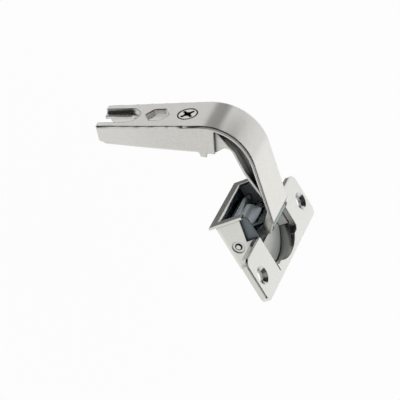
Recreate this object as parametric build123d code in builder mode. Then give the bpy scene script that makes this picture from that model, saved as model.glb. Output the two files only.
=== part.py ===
from build123d import *
from math import cos, radians, sin
import os

# Cup hinge with a cranked arm, for two cabinet doors that fold about an inner corner.
# Frame: origin at the centre of the cup bore, on the door's back face. +Z points out of the
# door, +Y along the pivot pins, +X towards the front edge of the flange. Millimetres.

os.makedirs("parts", exist_ok=True)

# Flange plate, which lies on the door and takes two countersunk screws
plate_length = 58.8
plate_front = 17.5
plate_rear = -0.2
plate_thick = 2.4
plate_corner = 3.0
plate_edge_bevel = 0.5
screw_spacing = 48.0
screw_offset = 9.0
screw_bore = 4.2
screw_head = 6.8

# Mouth of the cup in the plate: a straight notch that opens into a round well
notch_half = 12.6
notch_front = 13.2
well_radius = 15.8
well_half = 9.0
notch_corner_inset = 0.1
ledge_thick = 2.0
corner_slit = 1.2
slit_width = 0.5
slit_depth = 1.2

# Cup shell, which fills a 35 mm bore and is open towards the door's edge
cup_diameter = 34.7
cup_half_width = 14.6
cup_rear = -10.2
cup_depth = 11.2
cup_wall = 0.9
cup_floor = 0.8
cup_bottom_round = 2.8
rim_height = 1.4
rim_thick = 0.9
rim_stand_side = 0.4
rim_stand_below = 1.1
rim_edge_round = 0.3
sill_height = 1.5
sill_top = 0.9
sill_run = 2.6
sill_round = 0.5
sill_side_gap = 0.2
cheek_slope_end = 0.3
cheek_slope_drop = 1.9
dimple_diameter = 4.9
dimple_depth = 0.35

# Carrier: two walls that hold the cup pins, joined by a bridge in front
carrier_thick = 0.8
carrier_gap = 0.2
carrier_rear = -9.2
carrier_knuckle = 2.0
carrier_floor_gap = 0.3
bridge_top = -4.0
bridge_rear = 7.7
bridge_thick = 1.0

# Pivots, as places in X and Z with the hinge as it is drawn.
# The inner link's barrel runs just over the cup's floor.
cup_outer_pivot = (0.5, -6.0)
inner_link_eye = 1.95
barrel_floor_gap = 0.35
cup_inner_pivot = (-4.6, cup_floor - cup_depth + barrel_floor_gap + inner_link_eye)
arm_outer_pivot = (0.1, 3.9)
arm_inner_pivot = (2.1, -1.9)
cup_outer_pin_radius = 1.3
cup_inner_pin_radius = 1.1
arm_outer_pin_radius = 1.15
arm_inner_pin_radius = 0.9
running_clearance = 0.05
open_pivot_clearance = 0.42
pin_head_radius = 2.3
pin_head_height = 3.3
pin_head_bevel = 1.0
pin_groove_inner = 0.85
pin_groove_depth = 0.4
cup_inner_pin_bevel = 0.2
arm_inner_pin_bevel = 0.15
blind_skin = 0.5
barrel_gap = 0.3

# Links
link_half_width = 6.9
link_sheet = 1.2
link_arm_eye = 2.2
link_cup_eye = 2.3
link_leg = 1.3
link_window_top = 0.2
link_window_round = 1.2
side_clearance = 0.3
inner_link_sheet = 1.3
inner_link_bulge = 2.3
inner_link_barrel_half = 8.6

# Torsion springs on the outer cup pin
spring_wire = 0.8
spring_wire_sides = 6
spring_turns = 3
spring_turn_gap = 0.03
spring_clearance = 0.12
spring_tail = 2.4

# Arm: a channel at the rear, a bend, and a neck that carries the two arm pivots
arm_lean = 70.4
neck_drop = 13.7
web_end = (-1.3, 7.8)
neck_length = 23.0
bend_radius = 18.0
rear_length = 38.4
arm_rear_half = 7.6
arm_neck_half = 8.85
web_thick = 2.6
wall_thick = 1.5
wall_rear_depth = 6.8
wall_front_depth = 11.0
wall_length = 42.7
wall_foot_length = 3.2
wall_foot_start = 36.6
wall_foot_drop = 1.9
foot_slant = wall_foot_drop / 3
heel_notch = 2.2
heel_notch_depth = 0.6
arm_edge_round = 0.8
neck_root = (-33.5, 5.2)
neck_root_round = 2.6
neck_dip = (-21.8, 7.3)
neck_tip = 6.9
flange_thick = 1.2
rim_rib = 0.9
rim_half = 7.7
core_half = 4.4
core_setback = 4.0
pocket_start = 19.8
lug_length = 4.6
lug_front = (0.5, 6.1)
hub_outer = 1.95
hub_inner = 2.0
lug_front_share = (0.9, 0.43)
lug_foot_share = (0.95, 0.3)
lug_rear_share = (0.98, 0.2)

# Slot, aperture and adjusting screw in the web of the arm
slot_width = 9.3
slot_length = 14.5
slot_seat_depth = 1.5
slot_through = 4.4
aperture_centre = 20.9
aperture_length = 9.4
aperture_flat = 4.6
aperture_width = 7.6
aperture_round = 0.9
slot_seat_bevel = 1.0
adjuster_centre = 32.1
adjuster_head = 7.2
adjuster_head_depth = 1.7
adjuster_bevel = 0.3
adjuster_shank = 5.2
adjuster_length = 9.0
adjuster_boss = 8.4
adjuster_boss_depth = 3.0
recess_arm = 5.4
recess_width = 1.1
recess_depth = 1.1
recess_core = 1.3
adjuster_gap = 0.15

# Directions and corners of the arm in its side view
rear_along = Vector(cos(radians(arm_lean)), sin(radians(arm_lean)))
rear_out = Vector(-sin(radians(arm_lean)), cos(radians(arm_lean)))
neck_along = Vector(cos(radians(neck_drop)), -sin(radians(neck_drop)))
neck_out = Vector(sin(radians(neck_drop)), cos(radians(neck_drop)))
neck_start = Vector(*web_end) - neck_along * neck_length
bend_centre = neck_start - neck_out * bend_radius
bend_start = bend_centre + rear_out * bend_radius
rear_end = bend_start - rear_along * rear_length
bend_middle = bend_centre + (rear_out + neck_out).normalized() * bend_radius
neck_shoulder = (neck_root[0] + neck_root_round, neck_root[1] + neck_root_round)

carrier_outer = notch_half + carrier_thick
lug_inner = link_half_width + side_clearance


def rear_point(along, depth):
    """Side-view point of the arm's rear part, from its end and from the outer face of its web."""
    return rear_end + rear_along * along - rear_out * depth


def neck_point(along, depth):
    """Side-view point of the arm's neck, from the end of its web and from its outer face."""
    return Vector(*web_end) - neck_along * along - neck_out * depth


def wall_depth(along):
    """Depth of the arm's side wall, which grows towards the bend."""
    return wall_rear_depth + (wall_front_depth - wall_rear_depth) * along / wall_length


def bend_point(radius, turn):
    """Side-view point on an arc about the centre of the bend, from its rear end in degrees."""
    heading = radians(90 + arm_lean - turn)
    return bend_centre + Vector(cos(heading), sin(heading)) * radius


def at_side(y):
    """Side-view plane at a place along the pivot pins, for an extrusion towards -Y."""
    return Plane.XZ.offset(-y)


def bar(places, radius, half_length):
    """Round bar along the pivots, as far to one side as to the other, at each of the places."""
    with BuildPart() as solid:
        with BuildSketch(Plane.XZ):
            with Locations(*places):
                Circle(radius)
        extrude(amount=half_length, both=True)
    return solid.part


web_plane = Plane(
    origin=(rear_end.X, 0, rear_end.Y),
    x_dir=(rear_along.X, 0, rear_along.Y),
    z_dir=(rear_out.X, 0, rear_out.Y),
)


def cup_form(inset, floor, top, corner):
    """Round cup body with two flat cheeks and a rounded bottom, before it is cut open at the rear."""
    radius = cup_diameter / 2 - inset
    half = cup_half_width - inset
    with BuildPart() as form:
        with BuildSketch(Plane.XZ) as section:
            with Locations((radius / 2, (floor + top) / 2)):
                Rectangle(radius, top - floor)
            fillet(section.vertices().group_by(Axis.X)[-1].sort_by(Axis.Y)[0], corner)
        revolve(axis=Axis.Z)
        with BuildSketch(Plane.YZ.offset(-cup_diameter)) as across:
            with Locations((0, (floor + top) / 2)):
                Rectangle(2 * half, top - floor)
            fillet(across.vertices().group_by(Axis.Y)[0], corner)
        extrude(amount=2 * cup_diameter, mode=Mode.INTERSECT)
    return form.part


floor_top = cup_floor - cup_depth
cup_outside = cup_form(0, -cup_depth, rim_height, cup_bottom_round)
cup_inside = cup_form(cup_wall, floor_top, rim_height + 1, cup_bottom_round - cup_wall)
outer_pin_bore = bar([cup_outer_pivot], cup_outer_pin_radius + running_clearance, cup_half_width)

# Cup: the deep-drawn shell with its half flange, one piece
with BuildPart() as cup:
    add(cup_outside)
    add(cup_inside, mode=Mode.SUBTRACT)
    with BuildSketch(Plane.XZ):
        with BuildLine():
            Polyline(
                (cup_rear, floor_top - cup_floor / 2),
                (cup_rear, floor_top + sill_height),
                (cup_rear + sill_top, floor_top + sill_height),
                (cup_rear + sill_run, floor_top - cup_floor / 2),
                close=True,
            )
        make_face()
    mouth_half = notch_half - sill_side_gap
    extrude(amount=mouth_half, both=True)
    with BuildSketch(Plane.YZ.offset(cup_rear)):
        with Locations((0, (rim_height - cup_depth - rim_stand_below) / 2)):
            Rectangle(2 * (cup_half_width + rim_stand_side), rim_height + cup_depth + rim_stand_below)
        Rectangle(2 * mouth_half, -2 * (floor_top + sill_height), mode=Mode.SUBTRACT)
    extrude(amount=rim_thick)
    with BuildSketch(Plane.XZ):
        with Locations((cup_rear - cup_diameter / 2, 0)):
            Rectangle(cup_diameter, 3 * cup_depth)
        with BuildLine():
            Polyline(
                (cup_rear + rim_thick, 0),
                (plate_rear - cheek_slope_end, -cheek_slope_drop),
                (plate_rear - cheek_slope_end, 2 * rim_height),
                (cup_rear + rim_thick, 2 * rim_height),
                close=True,
            )
        make_face()
    extrude(amount=cup_diameter, both=True, mode=Mode.SUBTRACT)
    rear_edges = cup.edges().filter_by(lambda edge: abs(edge.center().X - cup_rear) < 0.01)
    sill_level = floor_top + sill_height
    sill_edges = rear_edges.filter_by(Axis.Y).filter_by(lambda edge: abs(edge.center().Z - sill_level) < 0.01)
    fillet(sill_edges, sill_round)
    rim_edges = rear_edges.filter_by(lambda edge: edge.length > 2 * cup_half_width)
    fillet(rim_edges.sort_by(Axis.Z)[0], rim_edge_round)
    with BuildSketch():
        with Locations(((plate_front + plate_rear) / 2, 0)):
            RectangleRounded(plate_front - plate_rear, plate_length, plate_corner)
    extrude(amount=plate_thick)
    with BuildSketch():
        Circle(cup_diameter / 2 - cup_wall)
        with Locations((plate_rear + cup_diameter / 2, 0)):
            Rectangle(cup_diameter, 2 * (cup_half_width - cup_wall), mode=Mode.INTERSECT)
    extrude(amount=plate_thick - ledge_thick, mode=Mode.SUBTRACT)
    with BuildSketch():
        with Locations(((notch_front - plate_length) / 2, 0)):
            Rectangle(notch_front + plate_length, 2 * notch_half)
        Circle(cup_diameter / 2 - notch_corner_inset, mode=Mode.INTERSECT)
    extrude(amount=plate_thick, mode=Mode.SUBTRACT)
    with BuildSketch(Plane.XY.offset(plate_thick)):
        with Locations((notch_front, (slit_width - 2 * notch_half) / 2)):
            Rectangle(3 * corner_slit, slit_width)
    extrude(amount=-slit_depth, mode=Mode.SUBTRACT)
    with BuildSketch():
        Circle(well_radius)
        with Locations((well_radius, 0)):
            Rectangle(2 * well_radius, 2 * well_half, mode=Mode.INTERSECT)
    extrude(amount=plate_thick, mode=Mode.SUBTRACT)
    plate_edges = cup.edges().filter_by(lambda edge: abs(edge.center().Z - plate_thick) < 0.01)
    outline = plate_edges.filter_by(
        lambda edge: abs(edge.center().Y) > notch_half + 0.5 or edge.center().X > plate_front - 0.1
    )
    chamfer(outline, plate_edge_bevel)
    with BuildSketch():
        with Locations((screw_offset, screw_spacing / 2), (screw_offset, -screw_spacing / 2)):
            Circle(screw_bore / 2)
    extrude(amount=plate_thick, mode=Mode.SUBTRACT)
    screw_sink = (screw_head - screw_bore) / 2
    for side in (1, -1):
        with Locations((screw_offset, side * screw_spacing / 2, plate_thick - screw_sink / 2)):
            Cone(screw_bore / 2, screw_head / 2, screw_sink, mode=Mode.SUBTRACT)
        with BuildSketch(at_side(side * cup_half_width)):
            with Locations(cup_outer_pivot):
                Circle(dimple_diameter / 2)
        extrude(amount=side * dimple_depth, mode=Mode.SUBTRACT)
    add(outer_pin_bore, mode=Mode.SUBTRACT)
cup.part.label = "cup"

# Carrier: walls beside the notch with the seats of both cup pins, and the bridge in front
inner_pin_bore = bar([cup_inner_pivot], cup_inner_pin_radius + running_clearance, carrier_outer)
with BuildPart() as pin_carrier:
    carrier_bottom = floor_top + carrier_floor_gap
    carrier_front = cup_diameter / 2
    with BuildSketch(Plane.XZ) as carrier_side:
        with BuildLine():
            Polyline(
                (carrier_rear, carrier_bottom),
                (carrier_rear, plate_thick),
                (plate_rear - carrier_gap, plate_thick),
                (plate_rear - carrier_gap, -carrier_gap),
                (carrier_front, -carrier_gap),
                (carrier_front, carrier_bottom),
                close=True,
            )
        make_face()
        fillet(carrier_side.vertices().group_by(Axis.X)[0].sort_by(Axis.Y)[-1], carrier_knuckle)
    extrude(amount=carrier_outer, both=True)
    with BuildSketch(Plane.XZ):
        with Locations(((carrier_rear + carrier_front) / 2, 0)):
            Rectangle(3 * cup_diameter, 3 * cup_depth)
    extrude(amount=notch_half, both=True, mode=Mode.SUBTRACT)
    with BuildSketch(Plane.XZ):
        with Locations(((bridge_rear + carrier_front) / 2, bridge_top - bridge_thick / 2)):
            Rectangle(carrier_front - bridge_rear, bridge_thick)
    extrude(amount=carrier_outer, both=True)
    carrier_round = cup_bottom_round - cup_wall
    add(cup_form(cup_wall + carrier_gap, carrier_bottom, cup_depth, carrier_round), mode=Mode.INTERSECT)
    add(outer_pin_bore, mode=Mode.SUBTRACT)
    add(inner_pin_bore, mode=Mode.SUBTRACT)
pin_carrier.part.label = "pin_carrier"

# Pins of the cup: the outer one is riveted in the dimples, the inner one is held by the carrier
with BuildPart() as cup_outer_pin:
    add(bar([cup_outer_pivot], cup_outer_pin_radius, cup_half_width))
    for side in (1, -1):
        with BuildSketch(at_side(side * cup_half_width)):
            with Locations(cup_outer_pivot):
                Circle(cup_outer_pin_radius)
                Circle(pin_groove_inner, mode=Mode.SUBTRACT)
        extrude(amount=side * pin_groove_depth, mode=Mode.SUBTRACT)
cup_outer_pin.part.label = "cup_outer_pin"

with BuildPart() as cup_inner_pin:
    add(bar([cup_inner_pivot], cup_inner_pin_radius, carrier_outer))
    chamfer(cup_inner_pin.edges().filter_by(GeomType.CIRCLE), cup_inner_pin_bevel)
cup_inner_pin.part.label = "cup_inner_pin"

# Outer link: a web with a rolled eye at the arm and two legs that straddle the inner link
window_half = link_half_width - link_leg
with BuildPart() as outer_link:
    cup_x, cup_z = cup_outer_pivot
    arm_x, arm_z = arm_outer_pivot
    with BuildSketch(Plane.XZ):
        with Locations(arm_outer_pivot):
            Circle(link_arm_eye)
        with Locations(cup_outer_pivot):
            Circle(link_cup_eye)
        with BuildLine():
            Polyline(
                (arm_x - link_arm_eye, arm_z),
                (arm_x - link_arm_eye + link_sheet, arm_z),
                (cup_x - link_cup_eye + link_sheet, cup_z),
                (cup_x - link_cup_eye, cup_z),
                close=True,
            )
        make_face()
    extrude(amount=link_half_width, both=True)
    with BuildSketch(Plane.YZ):
        with Locations((0, link_window_top + 2 * cup_z)):
            RectangleRounded(2 * window_half, -4 * cup_z, link_window_round)
    extrude(amount=2 * link_half_width, both=True, mode=Mode.SUBTRACT)
    link_bore_radius = arm_outer_pin_radius + running_clearance
    add(bar([arm_outer_pivot], link_bore_radius, link_half_width), mode=Mode.SUBTRACT)
    add(outer_pin_bore, mode=Mode.SUBTRACT)
outer_link.part.label = "outer_link"

# Inner link: a curved tongue from the inner cup pin, through the window, to the inner arm pin
inner_half = window_half - side_clearance
pivot_step = Vector(*arm_inner_pivot) - Vector(*cup_inner_pivot)
link_across = Vector(-pivot_step.Y, pivot_step.X).normalized()
link_crest = Vector(*cup_inner_pivot) + pivot_step / 2 + link_across * inner_link_bulge
with BuildPart() as inner_link:
    with BuildSketch(Plane.XZ):
        with BuildLine() as spine:
            ThreePointArc(cup_inner_pivot, (link_crest.X, link_crest.Y), arm_inner_pivot)
        trace(spine.line, inner_link_sheet)
        with Locations(cup_inner_pivot, arm_inner_pivot):
            Circle(inner_link_eye)
    extrude(amount=inner_half, both=True)
    add(bar([cup_inner_pivot], inner_link_eye, inner_link_barrel_half))
    add(inner_pin_bore, mode=Mode.SUBTRACT)
    add(bar([arm_inner_pivot], arm_inner_pin_radius + open_pivot_clearance, inner_half), mode=Mode.SUBTRACT)
inner_link.part.label = "inner_link"

# Torsion springs: three close turns on the outer cup pin at each side, with two short tails
coil_radius = cup_outer_pin_radius + spring_clearance + spring_wire / 2
coil_pitch = spring_wire + spring_turn_gap
coil_length = spring_turns * coil_pitch
coil_start = notch_half - side_clearance - spring_wire / 2 - coil_length
with BuildPart() as spring:
    with BuildLine():
        coil = Helix(pitch=coil_pitch, height=coil_length, radius=coil_radius)
    with BuildSketch(Plane(origin=coil @ 0, z_dir=coil % 0)):
        RegularPolygon(spring_wire / 2, spring_wire_sides)
    sweep(path=coil, is_frenet=True)
    for place, heading in ((coil @ 0, coil % 0 * -1), (coil @ 1, coil % 1)):
        with BuildSketch(Plane(origin=place, z_dir=heading)):
            RegularPolygon(spring_wire / 2, spring_wire_sides)
        extrude(amount=spring_tail)
for side, label in ((1, "spring_far"), (-1, "spring_near")):
    coil_place = (cup_outer_pivot[0], side * coil_start, cup_outer_pivot[1])
    seat = Plane(origin=coil_place, x_dir=(-1, 0, 0), z_dir=(0, side, 0))
    placed_spring = seat.location * spring.part
    placed_spring.label = label
    export_step(placed_spring, "parts/" + label + ".step")

# Arm: one casting. First the main form in its side view, and the taper of its rear part
inner_x, inner_z = arm_inner_pivot
foot_end = wall_foot_start + wall_foot_length
with BuildPart() as arm:
    with BuildSketch(Plane.XZ):
        with BuildLine():
            Line(rear_end, bend_start)
            ThreePointArc(bend_start, bend_middle, neck_start)
            Polyline(
                neck_start,
                web_end,
                neck_point(0, flange_thick),
                neck_point(neck_tip, flange_thick),
                neck_dip,
                neck_shoulder,
            )
            RadiusArc(neck_shoulder, neck_root, -neck_root_round)
            Polyline(
                neck_root,
                rear_point(wall_length, wall_front_depth),
                rear_point(foot_end, wall_depth(foot_end)),
                rear_point(foot_end - foot_slant, wall_depth(foot_end) + wall_foot_drop),
                rear_point(wall_foot_start + foot_slant, wall_depth(wall_foot_start) + wall_foot_drop),
                rear_point(wall_foot_start, wall_depth(wall_foot_start)),
                rear_point(heel_notch, wall_depth(heel_notch)),
                rear_point(heel_notch - heel_notch_depth, wall_depth(heel_notch) - heel_notch_depth),
                rear_point(heel_notch_depth, wall_depth(0) - heel_notch_depth),
                rear_point(0, wall_depth(0) - 2 * heel_notch_depth),
                rear_end,
            )
        make_face()
    extrude(amount=arm_neck_half, both=True)
    with BuildSketch(web_plane):
        for side in (1, -1):
            with BuildLine():
                TangentArc((rear_length, side * arm_neck_half), (0, side * arm_rear_half), tangent=(-1, 0))
                Polyline(
                    (0, side * arm_rear_half),
                    (-arm_rear_half, side * arm_rear_half),
                    (-arm_rear_half, side * 2 * arm_neck_half),
                    (rear_length, side * 2 * arm_neck_half),
                    (rear_length, side * arm_neck_half),
                )
            make_face()
    extrude(amount=2 * wall_front_depth, both=True, mode=Mode.SUBTRACT)
    neck_outwards = Vector(neck_out.X, 0, neck_out.Y)
    outer_faces = (
        arm.faces().filter_by(lambda face: face.normal_at().dot(web_plane.z_dir) > 0.999)
        + arm.faces().filter_by(GeomType.CYLINDER)
        + arm.faces().filter_by(lambda face: face.normal_at().dot(neck_outwards) > 0.999)
    )
    web_edges = outer_faces.edges().filter_by(lambda edge: abs((edge % 0.5).Y) < 0.5)
    fillet(web_edges, arm_edge_round)

    # The channel of the rear part
    with BuildSketch(web_plane.offset(-web_thick)):
        with BuildLine():
            channel_rear = arm_rear_half - wall_thick
            channel_front = arm_neck_half - wall_thick
            channel_end = wall_length - wall_thick
            Polyline(
                (-wall_thick, channel_rear),
                (channel_end, channel_front),
                (channel_end, -channel_front),
                (-wall_thick, -channel_rear),
                close=True,
            )
        make_face()
    extrude(amount=-2 * wall_front_depth, mode=Mode.SUBTRACT)

    # The neck: flange outside, narrower rim inside, and a pocket between them at each side
    inner_radius = bend_radius - flange_thick
    turn = arm_lean + neck_drop
    pocket_corner = bend_point(inner_radius, pocket_start)
    pocket_middle = bend_point(inner_radius, (pocket_start + turn) / 2)
    pocket_end = bend_point(inner_radius, turn)
    beyond_rim = (
        neck_point(neck_tip, flange_thick),
        (neck_dip[0], neck_dip[1] - neck_root_round),
        (neck_root[0] + neck_root_round, neck_root[1] - neck_root_round),
        rear_point(wall_length, wall_front_depth),
    )
    above_rim = (
        neck_point(neck_tip + core_setback, flange_thick),
        (neck_dip[0], neck_dip[1] + rim_rib),
        (neck_shoulder[0], neck_shoulder[1] + rim_rib),
        (neck_root[0], neck_shoulder[1]),
    )
    for reach, inner_side in ((rim_half, beyond_rim), (core_half, above_rim)):
        for side in (1, -1):
            with BuildSketch(at_side(side * reach)):
                with BuildLine():
                    ThreePointArc(pocket_corner, pocket_middle, pocket_end)
                    Polyline(pocket_end, *inner_side, pocket_corner)
                make_face()
            extrude(amount=-side * arm_neck_half, mode=Mode.SUBTRACT)

    # The tip: a lug at each side with the seats of both arm pins, around the eye of the outer link
    for side in (1, -1):
        with BuildSketch(at_side(side * arm_neck_half)):
            with Locations(arm_outer_pivot):
                Circle(hub_outer)
            with Locations(arm_inner_pivot):
                Circle(hub_inner)
            with BuildLine():
                Polyline(
                    web_end,
                    lug_front,
                    (inner_x + hub_inner * lug_front_share[0], inner_z + hub_inner * lug_front_share[1]),
                    (inner_x - hub_inner * lug_foot_share[0], inner_z - hub_inner * lug_foot_share[1]),
                    (arm_x - hub_outer * lug_rear_share[0], arm_z - hub_outer * lug_rear_share[1]),
                    neck_point(lug_length, flange_thick),
                    neck_point(lug_length, arm_edge_round),
                    neck_point(0, arm_edge_round),
                    close=True,
                )
            make_face()
        extrude(amount=side * (arm_neck_half - lug_inner))
    add(bar([arm_outer_pivot], link_arm_eye + barrel_gap, lug_inner), mode=Mode.SUBTRACT)
    bore_start = blind_skin - arm_neck_half
    for pivot, radius in ((arm_outer_pivot, arm_outer_pin_radius), (arm_inner_pivot, arm_inner_pin_radius)):
        with BuildSketch(at_side(bore_start)):
            with Locations(pivot):
                Circle(radius + running_clearance)
        extrude(amount=-2 * arm_neck_half, mode=Mode.SUBTRACT)

    # The web: the open slot with its sunk seat, the aperture, and the seat of the adjusting screw
    with BuildSketch(web_plane):
        with Locations((slot_length - slot_width / 2, 0)):
            Circle(slot_width / 2)
        with Locations(((slot_length - slot_width / 2) / 2, 0)):
            Rectangle(slot_length - slot_width / 2, slot_width)
    extrude(amount=-slot_seat_depth, mode=Mode.SUBTRACT)
    seat_edges = arm.edges().filter_by(
        lambda edge: abs((edge.center() - web_plane.origin).dot(web_plane.z_dir) + slot_seat_depth) < 0.01
        and (edge @ 0.5 - web_plane.origin).dot(web_plane.x_dir) > wall_thick
    )
    chamfer(seat_edges, slot_seat_bevel)
    with BuildSketch(web_plane):
        with Locations((slot_length - slot_width / 2, 0)):
            Circle(slot_through / 2)
        with Locations(((slot_length - slot_width / 2) / 2, 0)):
            Rectangle(slot_length - slot_width / 2, slot_through)
    extrude(amount=-web_thick, mode=Mode.SUBTRACT)
    with BuildSketch(web_plane) as aperture:
        with BuildLine():
            Polyline(
                (aperture_centre + aperture_length / 2, 0),
                (aperture_centre + aperture_flat / 2, aperture_width / 2),
                (aperture_centre - aperture_flat / 2, aperture_width / 2),
                (aperture_centre - aperture_length / 2, 0),
                (aperture_centre - aperture_flat / 2, -aperture_width / 2),
                (aperture_centre + aperture_flat / 2, -aperture_width / 2),
                close=True,
            )
        make_face()
        fillet(aperture.vertices(), aperture_round)
    extrude(amount=-web_thick, mode=Mode.SUBTRACT)
    with BuildSketch(web_plane.offset(-web_thick)):
        with Locations((adjuster_centre, 0)):
            Circle(adjuster_boss / 2)
    extrude(amount=-adjuster_boss_depth)
    with BuildSketch(web_plane):
        with Locations((adjuster_centre, 0)):
            Circle(adjuster_head / 2 + adjuster_gap)
    extrude(amount=-adjuster_head_depth, mode=Mode.SUBTRACT)
    with BuildSketch(web_plane):
        with Locations((adjuster_centre, 0)):
            Circle(adjuster_shank / 2 + running_clearance)
    extrude(amount=-web_thick - adjuster_boss_depth, mode=Mode.SUBTRACT)
arm.part.label = "arm"

# Pins of the arm: pressed in from the far side, the outer one with a domed head
with BuildPart() as arm_outer_pin:
    with BuildSketch(at_side(bore_start)):
        with Locations(arm_outer_pivot):
            Circle(arm_outer_pin_radius)
    extrude(amount=-(arm_neck_half - bore_start))
    with BuildSketch(at_side(arm_neck_half)):
        with Locations(arm_outer_pivot):
            Circle(pin_head_radius)
    extrude(amount=-pin_head_height)
    chamfer(arm_outer_pin.edges().group_by(Axis.Y)[-1], pin_head_bevel)
arm_outer_pin.part.label = "arm_outer_pin"

with BuildPart() as arm_inner_pin:
    with BuildSketch(at_side(bore_start)):
        with Locations(arm_inner_pivot):
            Circle(arm_inner_pin_radius)
    extrude(amount=-(arm_neck_half - bore_start))
    chamfer(arm_inner_pin.edges().filter_by(GeomType.CIRCLE), arm_inner_pin_bevel)
arm_inner_pin.part.label = "arm_inner_pin"

# Adjusting screw: flush head with a cross recess, and a shank that goes through the web
with BuildPart() as side_adjusting_screw:
    with BuildSketch(web_plane):
        with Locations((adjuster_centre, 0)):
            Circle(adjuster_head / 2)
    extrude(amount=-adjuster_head_depth + running_clearance)
    head_rim = side_adjusting_screw.edges().group_by(Axis(web_plane.origin, web_plane.z_dir))[-1]
    chamfer(head_rim, adjuster_bevel)
    with BuildSketch(web_plane):
        with Locations((adjuster_centre, 0)):
            Circle(adjuster_shank / 2)
    extrude(amount=-adjuster_length)
    with BuildSketch(web_plane):
        with Locations((adjuster_centre, 0)):
            Rectangle(recess_arm, recess_width, rotation=45)
            Rectangle(recess_arm, recess_width, rotation=-45)
            Circle(recess_core)
    extrude(amount=-recess_depth, mode=Mode.SUBTRACT)
side_adjusting_screw.part.label = "side_adjusting_screw"

pieces = (
    cup, pin_carrier, cup_outer_pin, cup_inner_pin, outer_link, inner_link,
    arm, arm_outer_pin, arm_inner_pin, side_adjusting_screw,
)
for piece in pieces:
    export_step(piece.part, "parts/" + piece.part.label + ".step")
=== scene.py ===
import bpy
import bmesh
from math import radians
from mathutils import Matrix, Vector


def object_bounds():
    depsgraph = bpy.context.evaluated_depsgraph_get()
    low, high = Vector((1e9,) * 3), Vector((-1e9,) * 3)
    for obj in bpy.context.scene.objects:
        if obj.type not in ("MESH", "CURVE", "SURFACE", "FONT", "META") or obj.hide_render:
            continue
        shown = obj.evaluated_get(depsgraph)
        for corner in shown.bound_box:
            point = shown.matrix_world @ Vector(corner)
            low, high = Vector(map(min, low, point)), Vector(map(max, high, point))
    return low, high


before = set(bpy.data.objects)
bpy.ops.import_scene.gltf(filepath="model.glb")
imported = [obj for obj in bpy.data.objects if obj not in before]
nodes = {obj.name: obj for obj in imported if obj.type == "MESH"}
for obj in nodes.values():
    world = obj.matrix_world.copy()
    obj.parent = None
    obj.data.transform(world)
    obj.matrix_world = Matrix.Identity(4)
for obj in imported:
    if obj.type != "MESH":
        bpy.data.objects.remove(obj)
cad_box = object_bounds()

# Camera: it looks at the near ends of the pivot pins from a little above, as in a catalogue
# picture, so that the flange stands on edge and the arm reaches up and to the left.
photo_right = Vector((0.498, 0.3065, 0.810)).normalized()
photo_back = Vector((-0.343, -0.79, 0.51))
photo_back = (photo_back - photo_back.dot(photo_right) * photo_right).normalized()
photo_up = photo_back.cross(photo_right)
photo_centre = Vector((-0.0158, -0.0019, -0.0173))
camera_distance = 0.8
lens_per_metre = 255.9

camera = bpy.data.objects.new("photo_camera", bpy.data.cameras.new("photo_camera"))
camera.data.lens = lens_per_metre * camera_distance
camera.data.clip_start = 0.01
camera.matrix_world = Matrix.Translation(photo_centre + camera_distance * photo_back) @ Matrix(
    (photo_right, photo_up, photo_back)
).transposed().to_4x4()
bpy.context.scene.collection.objects.link(camera)
bpy.context.scene.camera = camera
bpy.context.scene.view_settings.view_transform = "Standard"

# Studio: a white surround that camera, metal and glass all see, and a pale matt floor a
# little below the arm, which keeps the soft shadow of the hinge.
surround_white = (1.0, 1.0, 1.0)
surround_light = 0.85
floor_gap = 0.045
floor_radius = 0.42
floor_middle = (-0.02, 0, cad_box[0][2] - floor_gap)
floor_colour = (0.86, 0.86, 0.85)
floor_glow = 0.93
floor_roughness = 0.95


def seen_rays(tree):
    """Socket that is 1 for rays from the camera, or from a mirror or glass, and 0 for the rest."""
    path = tree.nodes.new("ShaderNodeLightPath")
    mirror = tree.nodes.new("ShaderNodeMath")
    mirror.operation = "MAXIMUM"
    tree.links.new(path.outputs["Is Camera Ray"], mirror.inputs[0])
    tree.links.new(path.outputs["Is Glossy Ray"], mirror.inputs[1])
    both = tree.nodes.new("ShaderNodeMath")
    both.operation = "MAXIMUM"
    tree.links.new(mirror.outputs[0], both.inputs[0])
    tree.links.new(path.outputs["Is Transmission Ray"], both.inputs[1])
    return both.outputs[0]


world = bpy.data.worlds.new("white_surround")
bpy.context.scene.world = world
world.use_nodes = True
sky = world.node_tree
light_side = sky.nodes["Background"]
light_side.inputs["Color"].default_value = (*surround_white, 1)
light_side.inputs["Strength"].default_value = surround_light
seen_side = sky.nodes.new("ShaderNodeBackground")
seen_side.inputs["Color"].default_value = (*surround_white, 1)
sky_mix = sky.nodes.new("ShaderNodeMixShader")
sky.links.new(seen_rays(sky), sky_mix.inputs[0])
sky.links.new(light_side.outputs[0], sky_mix.inputs[1])
sky.links.new(seen_side.outputs[0], sky_mix.inputs[2])
sky.links.new(sky_mix.outputs[0], sky.nodes["World Output"].inputs["Surface"])

floor_mesh = bpy.data.meshes.new("floor")
floor_form = bmesh.new()
bmesh.ops.create_circle(floor_form, cap_ends=True, segments=96, radius=floor_radius)
bmesh.ops.translate(floor_form, verts=floor_form.verts, vec=floor_middle)
floor_form.to_mesh(floor_mesh)
floor = bpy.data.objects.new("floor", floor_mesh)
bpy.context.scene.collection.objects.link(floor)
floor_paint = bpy.data.materials.new("matt_floor")
floor_paint.use_nodes = True
paint = floor_paint.node_tree
matt = paint.nodes["Principled BSDF"]
matt.inputs["Base Color"].default_value = (*floor_colour, 1)
matt.inputs["Roughness"].default_value = floor_roughness
glow = paint.nodes.new("ShaderNodeEmission")
glow.inputs["Color"].default_value = (*surround_white, 1)
share = paint.nodes.new("ShaderNodeMath")
share.operation = "MULTIPLY"
share.inputs[1].default_value = floor_glow
floor_mix = paint.nodes.new("ShaderNodeMixShader")
paint.links.new(seen_rays(paint), share.inputs[0])
paint.links.new(share.outputs[0], floor_mix.inputs[0])
paint.links.new(matt.outputs[0], floor_mix.inputs[1])
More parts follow.
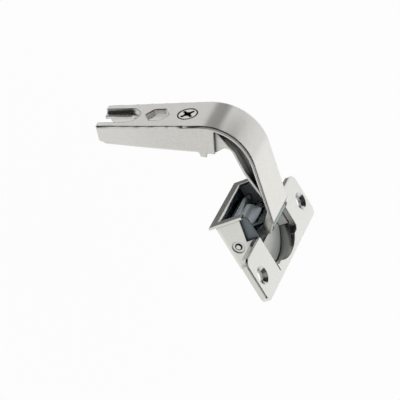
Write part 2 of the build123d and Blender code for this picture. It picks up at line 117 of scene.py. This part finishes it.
paint.links.new(glow.outputs[0], floor_mix.inputs[2])
paint.links.new(floor_mix.outputs[0], paint.nodes["Material Output"].inputs["Surface"])
floor_mesh.materials.append(floor_paint)

# Cards, as a studio uses with bright metal: only reflections show them. A dark collar beside the
# camera draws the rounded edges as dark lines, a dim sheet at the camera stands in for the room,
# and each round card sets the tone of one face of the arm or the cup.
collar_radius = 0.17
collar_axis = Vector((-0.458, -0.568, 0.681)).normalized()
collar_outer = radians(76)
camera_gap = radians(39)
collar_tone = 0.015
room_tone = 0.4
card_blue_share = 0.98


def studio_card(name, form, tone):
    """Sheet of light or shade that shows in reflections and nowhere else."""
    mesh = bpy.data.meshes.new(name)
    form.to_mesh(mesh)
    card = bpy.data.objects.new(name, mesh)
    bpy.context.scene.collection.objects.link(card)
    paper = bpy.data.materials.new(name)
    paper.use_nodes = True
    tree = paper.node_tree
    tree.nodes.remove(tree.nodes["Principled BSDF"])
    shine = tree.nodes.new("ShaderNodeEmission")
    shine.inputs["Color"].default_value = (tone, tone, card_blue_share * tone, 1)
    tree.links.new(shine.outputs[0], tree.nodes["Material Output"].inputs["Surface"])
    mesh.materials.append(paper)
    card.visible_camera = False
    card.visible_diffuse = False
    card.visible_shadow = False


def tent(keeps):
    """Part of a ball round the hinge whose directions pass the test."""
    form = bmesh.new()
    bmesh.ops.create_icosphere(form, subdivisions=5, radius=collar_radius)
    out = [face for face in form.faces if not keeps(face.calc_center_median().normalized())]
    bmesh.ops.delete(form, geom=out, context="FACES")
    bmesh.ops.translate(form, verts=form.verts, vec=photo_centre)
    return form


def near_camera(way):
    """Whether a direction lies in the opening of the collar, round the camera."""
    return way.angle(photo_back) < camera_gap


def in_collar(way):
    """Whether a direction meets the dark collar."""
    return way.angle(collar_axis) < collar_outer and not near_camera(way)


studio_card("dark_collar", tent(in_collar), collar_tone)
studio_card("dim_room", tent(near_camera), room_tone)

for card_name, place, towards, distance, width, tone in (
    ("bend_card", (-0.030, 0, 0), (-0.584, 0.79, 0.14), 0.30, 0.115, 0.36),
    ("rear_web_card", (-0.045, 0, -0.010), (-0.588, 0.79, -0.179), 0.20, 0.085, 0.86),
    ("neck_card", (-0.010, 0, 0.010), (0.539, 0.79, 0.296), 0.40, 0.14, 1.17),
    ("end_face_card", (-0.008, 0, -0.005), (-0.343, 0.79, -0.51), 0.10, 0.062, 0.15),
    ("mouth_card", (0.010, 0, 0), (0.343, -0.79, 0.51), 0.14, 0.06, 1.0),
    ("heel_card", (-0.045, 0, -0.010), (-0.95, 0.12, -0.06), 0.11, 0.11, 0.02),
    ("side_card", (-0.020, -0.01, -0.010), (0.343, -0.79, -0.51), 0.10, 0.14, 0.88),
):
    towards = Vector(towards).normalized()
    card_form = bmesh.new()
    bmesh.ops.create_circle(card_form, cap_ends=True, segments=32, radius=width / 2)
    facing = towards.to_track_quat("Z", "Y").to_matrix()
    bmesh.ops.rotate(card_form, verts=card_form.verts, cent=(0, 0, 0), matrix=facing)
    bmesh.ops.translate(card_form, verts=card_form.verts, vec=Vector(place) + distance * towards)
    studio_card(card_name, card_form, tone)

# Cup with its flange: one piece, deep-drawn from steel sheet and plated with nickel, which
# is left bright but not mirror-like. Two wood screws hold the flange on the door, and painted
# shade darkens the inside of the cup.
cloud_scale = 160.0
speck_scale = 2000.0
speck_height = 0.00004
smoother, rougher = 0.05, 0.06
dull_share = 0.93
dull_below, bright_above = 0.35, 0.6
dark_below, open_above = 0.45, 0.95
probe_rays = 8


def plated(name, colour, roughness, grain, edge_round, cavity_shade_reach, cavity_shade_colour):
    """Nickel-plated metal: uneven sheen, fine grain, softened edges, and painted shade darkening corners and
    recesses.
    """
    material = bpy.data.materials.new(name)
    material.use_nodes = True
    tree = material.node_tree
    metal = tree.nodes["Principled BSDF"]
    metal.inputs["Metallic"].default_value = 1.0
    place = tree.nodes.new("ShaderNodeTexCoord")

    cloud = tree.nodes.new("ShaderNodeTexNoise")
    cloud.inputs["Scale"].default_value = cloud_scale
    cloud.inputs["Detail"].default_value = 4.0
    tree.links.new(place.outputs["Object"], cloud.inputs["Vector"])
    sheen = tree.nodes.new("ShaderNodeMapRange")
    sheen.inputs["To Min"].default_value = roughness - smoother
    sheen.inputs["To Max"].default_value = roughness + rougher
    tree.links.new(cloud.outputs["Fac"], sheen.inputs["Value"])
    tree.links.new(sheen.outputs["Result"], metal.inputs["Roughness"])

    speck = tree.nodes.new("ShaderNodeTexNoise")
    speck.inputs["Scale"].default_value = speck_scale
    speck.inputs["Detail"].default_value = 3.0
    tree.links.new(place.outputs["Object"], speck.inputs["Vector"])
    bump = tree.nodes.new("ShaderNodeBump")
    bump.inputs["Strength"].default_value = grain
    bump.inputs["Distance"].default_value = speck_height
    tree.links.new(speck.outputs["Fac"], bump.inputs["Height"])
    softened = tree.nodes.new("ShaderNodeBevel")
    softened.samples = probe_rays
    softened.inputs["Radius"].default_value = edge_round
    tree.links.new(softened.outputs["Normal"], bump.inputs["Normal"])
    tree.links.new(bump.outputs["Normal"], metal.inputs["Normal"])

    tint = tree.nodes.new("ShaderNodeMix")
    tint.data_type = "RGBA"
    tint.inputs["A"].default_value = (*[dull_share * part for part in colour], 1)
    tint.inputs["B"].default_value = (*colour, 1)
    mottle = tree.nodes.new("ShaderNodeMapRange")
    mottle.inputs["From Min"].default_value = dull_below
    mottle.inputs["From Max"].default_value = bright_above
    tree.links.new(speck.outputs["Fac"], mottle.inputs["Value"])
    tree.links.new(mottle.outputs["Result"], tint.inputs["Factor"])
    # Painted shade: where occlusion finds corners and recesses, the colour goes towards the cavity shade
    # colour.
    hollow = tree.nodes.new("ShaderNodeAmbientOcclusion")
    hollow.samples = probe_rays
    hollow.inputs["Distance"].default_value = cavity_shade_reach
    openness = tree.nodes.new("ShaderNodeMapRange")
    openness.inputs["From Min"].default_value = dark_below
    openness.inputs["From Max"].default_value = open_above
    tree.links.new(hollow.outputs["AO"], openness.inputs["Value"])
    shade = tree.nodes.new("ShaderNodeMix")
    shade.data_type = "RGBA"
    shade.inputs["A"].default_value = (*cavity_shade_colour, 1)
    tree.links.new(openness.outputs["Result"], shade.inputs["Factor"])
    tree.links.new(tint.outputs["Result"], shade.inputs["B"])
    tree.links.new(shade.outputs["Result"], metal.inputs["Base Color"])
    return material


def dress(node, material):
    """Gives a CAD node one material all over."""
    mesh = nodes[node].data
    mesh.materials.clear()
    mesh.materials.append(material)


# Painted shade: a blue-black shade colour fills the inside of the cup and its recesses.
cup_plating = plated(
    "bright_nickel_on_cup", colour=(0.74, 0.74, 0.71), roughness=0.22, grain=0.08,
    edge_round=0.0003, cavity_shade_reach=0.0045, cavity_shade_colour=(0.14, 0.175, 0.2),
)
dress("cup", cup_plating)

# Pin carrier: a stamped and folded steel bracket inside the cup. Its two walls hold the ends
# of both cup pins and carry painted shade beside the levers, and its bridge is the smooth light
# floor in front of them. Its plating is given a lighter colour than the cup's, as painted light on that
# floor.
carrier_shade_colour = (0.15, 0.18, 0.195)
shaded_to = 0.002
unshaded_from = 0.0075
bridge_metallic = 0.45


def lay_painted_shade(plating, share, colour):
    """Lays painted shade over a plating's colour, as strong as the share says."""
    tree = plating.node_tree
    metal = tree.nodes["Principled BSDF"]
    shade_layer = tree.nodes.new("ShaderNodeMix")
    shade_layer.data_type = "RGBA"
    shade_layer.inputs["B"].default_value = (*colour, 1)
    tree.links.new(share, shade_layer.inputs["Factor"])
    tree.links.new(metal.inputs["Base Color"].links[0].from_socket, shade_layer.inputs["A"])
    tree.links.new(shade_layer.outputs["Result"], metal.inputs["Base Color"])


# Painted light: the carrier's plating is lighter than the cup's nickel, so its bridge floor shows bright.
carrier_plating = plated(
    "nickel_on_carrier", colour=(0.95, 0.95, 0.92), roughness=0.5, grain=0.15,
    edge_round=0.0002, cavity_shade_reach=0.0008, cavity_shade_colour=(0.3, 0.3, 0.29),
)
carrier_tree = carrier_plating.node_tree
carrier_tree.nodes["Principled BSDF"].inputs["Metallic"].default_value = bridge_metallic
# Painted shade: the walls darken towards the back of the cup, beside the levers, and the bridge in front
# stays light.
along_cup = carrier_tree.nodes.new("ShaderNodeSeparateXYZ")
carrier_tree.links.new(carrier_tree.nodes["Texture Coordinate"].outputs["Object"], along_cup.inputs["Vector"])
beside_levers = carrier_tree.nodes.new("ShaderNodeMapRange")
beside_levers.inputs["From Min"].default_value = unshaded_from
beside_levers.inputs["From Max"].default_value = shaded_to
carrier_tree.links.new(along_cup.outputs["X"], beside_levers.inputs["Value"])
lay_painted_shade(carrier_plating, beside_levers.outputs["Result"], carrier_shade_colour)
dress("pin_carrier", carrier_plating)

# Pins: turned steel, pressed into the carrier or into the arm. The outer cup pin is riveted
# into the dimples of the cup's cheeks, and painted shade darkens the step round its bright end.
# Colour of the painted shade round the pin end and the screw head.
rim_shade_colour = (0.02, 0.024, 0.028)
pin_look = dict(
    colour=(0.72, 0.72, 0.70), roughness=0.2, grain=0.1,
    edge_round=0.0001, cavity_shade_reach=0.0016, cavity_shade_colour=(0.01, 0.013, 0.016),
)
pin_steel = plated("bright_pin_steel", **pin_look)
for pin in ("cup_inner_pin", "arm_outer_pin", "arm_inner_pin"):
    dress(pin, pin_steel)


def painted_rim_shade(plating, axis_place, axis_way, unshaded_radius, shaded_radius):
    """Paints shade on a turned piece outside a radius from its axis; the middle stays unshaded."""
    tree = plating.node_tree
    from_axis = tree.nodes.new("ShaderNodeVectorMath")
    from_axis.operation = "SUBTRACT"
    from_axis.inputs[1].default_value = axis_place
    tree.links.new(tree.nodes["Texture Coordinate"].outputs["Object"], from_axis.inputs[0])
    across = tree.nodes.new("ShaderNodeVectorMath")
    across.operation = "CROSS_PRODUCT"
    across.inputs[1].default_value = axis_way
    tree.links.new(from_axis.outputs["Vector"], across.inputs[0])
    radius = tree.nodes.new("ShaderNodeVectorMath")
    radius.operation = "LENGTH"
    tree.links.new(across.outputs["Vector"], radius.inputs[0])
    rim = tree.nodes.new("ShaderNodeMapRange")
    rim.inputs["From Min"].default_value = unshaded_radius
    rim.inputs["From Max"].default_value = shaded_radius
    tree.links.new(radius.outputs["Value"], rim.inputs["Value"])
    lay_painted_shade(plating, rim.outputs["Result"], rim_shade_colour)


riveted_pin = plated("riveted_pin_end", **pin_look)
# Painted shade: a dark ring round the bright end of the riveted pin.
painted_rim_shade(
    riveted_pin, axis_place=(0.0005, 0, -0.006), axis_way=(0, 1, 0),
    unshaded_radius=0.00082, shaded_radius=0.0009,
)
dress("cup_outer_pin", riveted_pin)

# Links: two levers stamped from strip and rolled at their eyes, plated like the rest. They
# turn on their pins in grease. Their plating is painted much darker than the cup's, as painted
# shade for their place deep inside the cup.
link_plating = plated(
    "satin_nickel_on_links", colour=(0.27, 0.305, 0.32), roughness=0.24, grain=0.15,
    edge_round=0.0002, cavity_shade_reach=0.004, cavity_shade_colour=(0.06, 0.08, 0.1),
)
for link in ("outer_link", "inner_link"):
    dress(link, link_plating)

# Springs: two torsion springs of hard-drawn steel wire, wound on the outer cup pin beside
# the outer link. A light film of grease dulls the wire.
spring_steel = plated(
    "greased_spring_wire", colour=(0.36, 0.37, 0.37), roughness=0.32, grain=0.1,
    edge_round=0.0002, cavity_shade_reach=0.002, cavity_shade_colour=(0.05, 0.06, 0.07),
)
for spring in ("spring_near", "spring_far"):
    dress(spring, spring_steel)

# Arm: a zinc die casting, tumbled and plated. Its skin is a little less smooth than that of
# the sheet pieces. It hangs on the two links and clips over a mounting plate.
arm_plating = plated(
    "nickel_on_casting", colour=(0.68, 0.672, 0.65), roughness=0.24, grain=0.16,
    edge_round=0.0007, cavity_shade_reach=0.0032, cavity_shade_colour=(0.14, 0.15, 0.155),
)
dress("arm", arm_plating)

# Adjusting screw: cold-headed steel with a cross recess, flush in the arm's web, where it
# moves the arm sideways on the mounting plate. Painted shade darkens the rim of its head,
# where it meets the web.
screw_plating = plated(
    "nickel_on_screw", colour=(0.72, 0.72, 0.70), roughness=0.22, grain=0.1,
    edge_round=0.0003, cavity_shade_reach=0.0024, cavity_shade_colour=(0.01, 0.013, 0.016),
)
# Painted shade: a dark ring on the rim of the screw head.
painted_rim_shade(
    screw_plating, axis_place=(-0.04618, 0, -0.00442), axis_way=(-0.942057, 0, 0.335452),
    unshaded_radius=0.0031, shaded_radius=0.0033,
)
dress("side_adjusting_screw", screw_plating)
